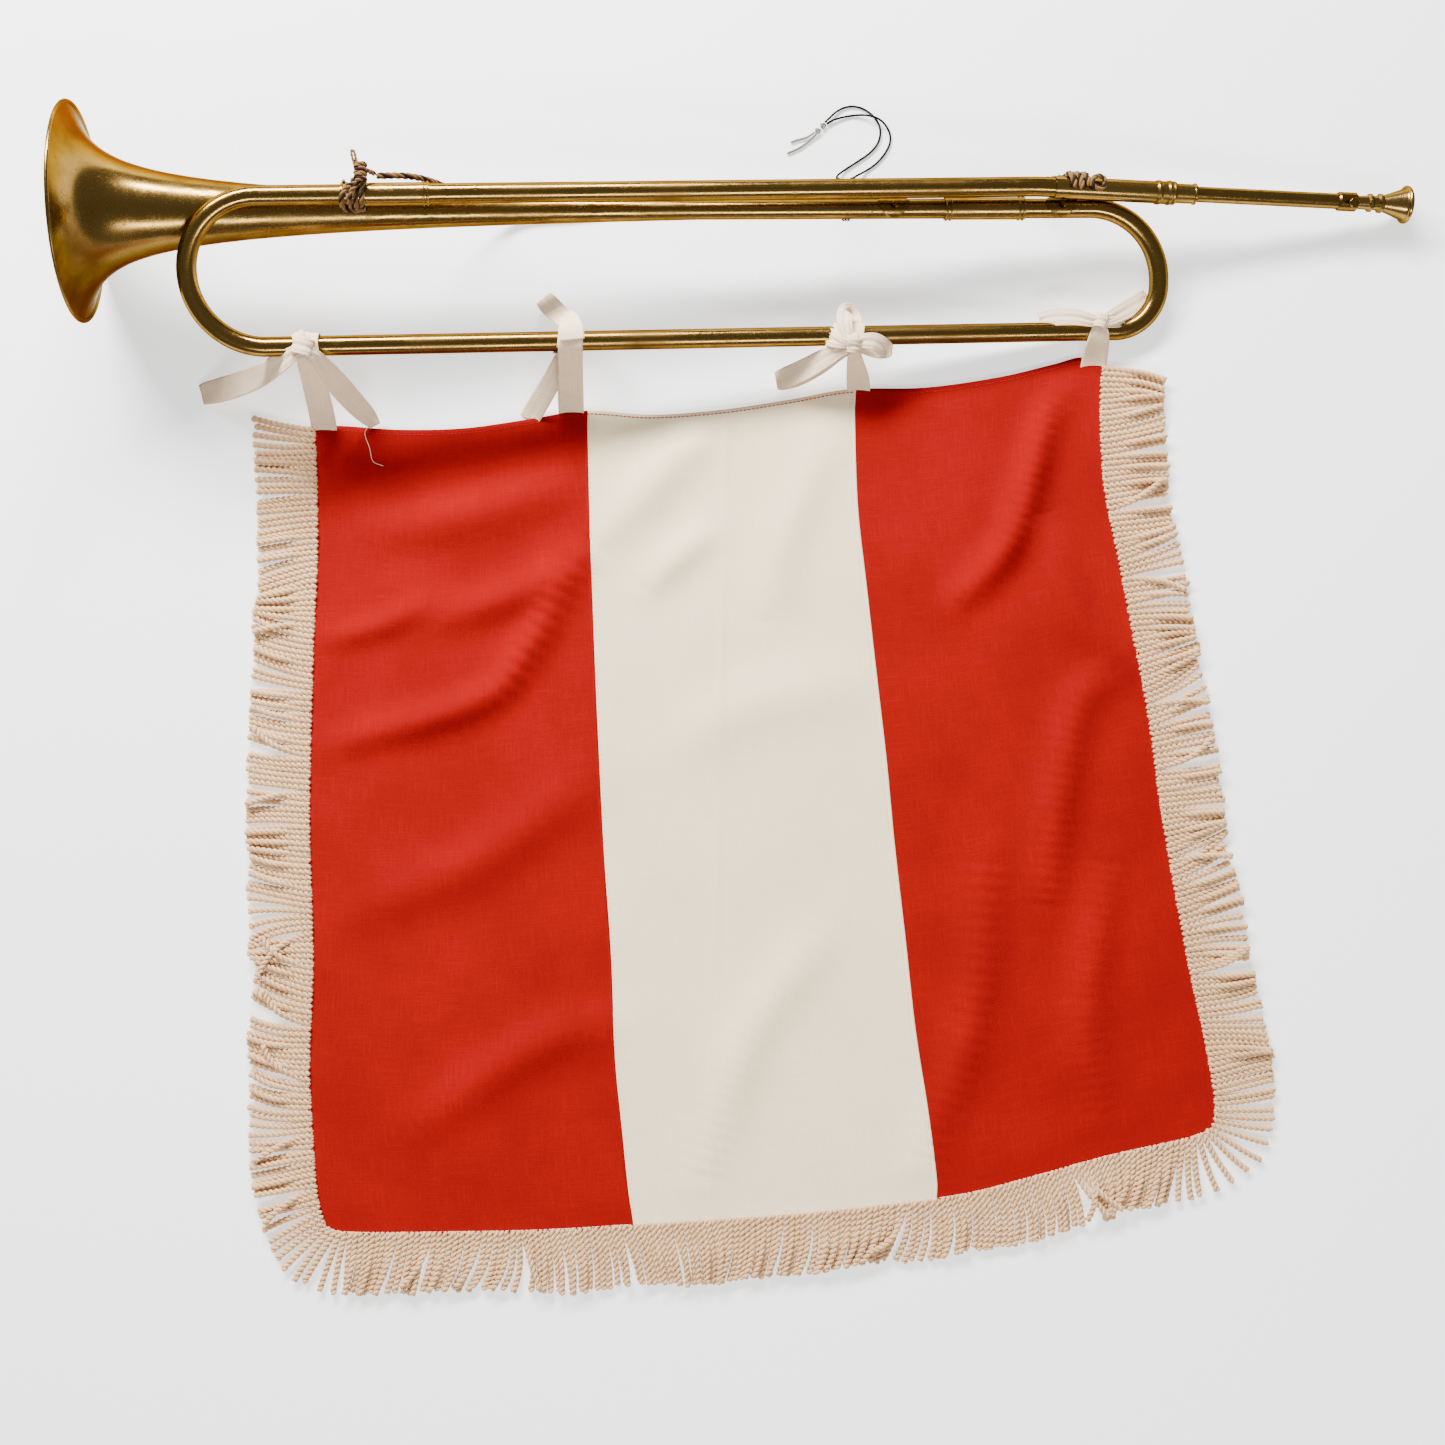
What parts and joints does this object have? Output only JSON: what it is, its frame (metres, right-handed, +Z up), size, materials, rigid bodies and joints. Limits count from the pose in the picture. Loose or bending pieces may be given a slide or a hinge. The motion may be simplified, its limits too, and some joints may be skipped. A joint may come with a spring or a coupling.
{
  "type": "bugle",
  "caption": "Long natural brass trumpet with flared bell, one loop and tuning mouthpipe, a tied striped banner with fringe, and a twisted carrying cord.",
  "frame": {"origin": "middle of the footprint at table level, measured on the instrument and its banner without the loose cords", "axes": "+X along the horn towards the mouthpiece, +Y from the banner towards the horn, +Z up from the table on which it lies"},
  "size_m": [0.8212, 0.7504, 0.1298],
  "materials": {
    "aged_brass": "old polished brass with brown tarnish",
    "ferrule_brass": "old polished brass, worn bright on the beads",
    "fitting_brass": "dull tarnished brass",
    "mouthpiece_brass": "polished brass, worn at the rim",
    "red_cotton": "woven cotton, matt",
    "cream_cotton": "woven cotton, matt",
    "bullion_fringe": "twisted cotton strands",
    "tape_cotton": "woven cotton tape",
    "cord_cotton": "twisted cord, tan and dark brown strands",
    "string_black": "waxed thread"
  },
  "bodies": {
    "horn": {"bell": "aged_brass", "bell_rim_wire": "aged_brass", "bell_sleeve": "ferrule_brass", "right_bow": "aged_brass", "lower_tube": "aged_brass", "left_bow": "aged_brass", "leadpipe": "aged_brass", "leadpipe_sleeve": "ferrule_brass", "tuning_sleeve": "ferrule_brass", "socket_liner": "aged_brass", "socket_cap": "ferrule_brass", "socket_collar": "ferrule_brass", "brace_plate_left": "fitting_brass", "brace_plate_right": "fitting_brass", "cord_eye_left": "fitting_brass", "cord_eye_right": "fitting_brass", "carrying_cord": "cord_cotton", "cord_knot_left": "cord_cotton", "cord_loop_left": "cord_cotton", "cord_wrap_right": "cord_cotton", "cord_loop_right": "cord_cotton", "string_hitch": "string_black", "string_strand_a": "string_black", "string_strand_b": "string_black", "string_knot": "string_black", "string_tail_a": "string_black", "string_tail_b": "string_black"},
    "tuning_slide": {"mouthpipe": "aged_brass", "mouthpiece_receiver": "fitting_brass"},
    "clamp_screw": {"clamp_screw": "fitting_brass"},
    "mouthpiece": {"mouthpiece": "mouthpiece_brass"},
    "banner": {"left_panel": "red_cotton", "centre_panel": "cream_cotton", "right_panel": "red_cotton", "top_hem": "red_cotton", "fringe_left": "bullion_fringe", "fringe_bottom": "bullion_fringe", "fringe_right": "bullion_fringe", "tie_1": "tape_cotton", "tie_2": "tape_cotton", "tie_3": "tape_cotton", "tie_4": "tape_cotton"}
  },
  "joints": [
    {"name": "mouthpipe_slide", "type": "slide", "parent": "horn", "child": "tuning_slide", "axis": [0.9934, -0.017, -0.1136], "range_m": [-0.048, 0.022]},
    {"name": "clamp_screw_turn", "type": "hinge", "parent": "tuning_slide", "child": "clamp_screw", "pos_m": [0.37119, 0.32001, 0.01574], "axis": [0.1032, -0.3017, 0.9478], "range_deg": [0, 360]},
    {"name": "mouthpiece_pull", "type": "slide", "parent": "tuning_slide", "child": "mouthpiece", "axis": [0.9934, -0.017, -0.1136], "range_m": [0, 0.03]},
    {"name": "banner_swing", "type": "hinge", "parent": "horn", "child": "banner", "pos_m": [0.17511, 0.23965, 0.0115], "axis": [-0.9946, -0.0379, 0.0962], "range_deg": [0, 95]}
  ]
}
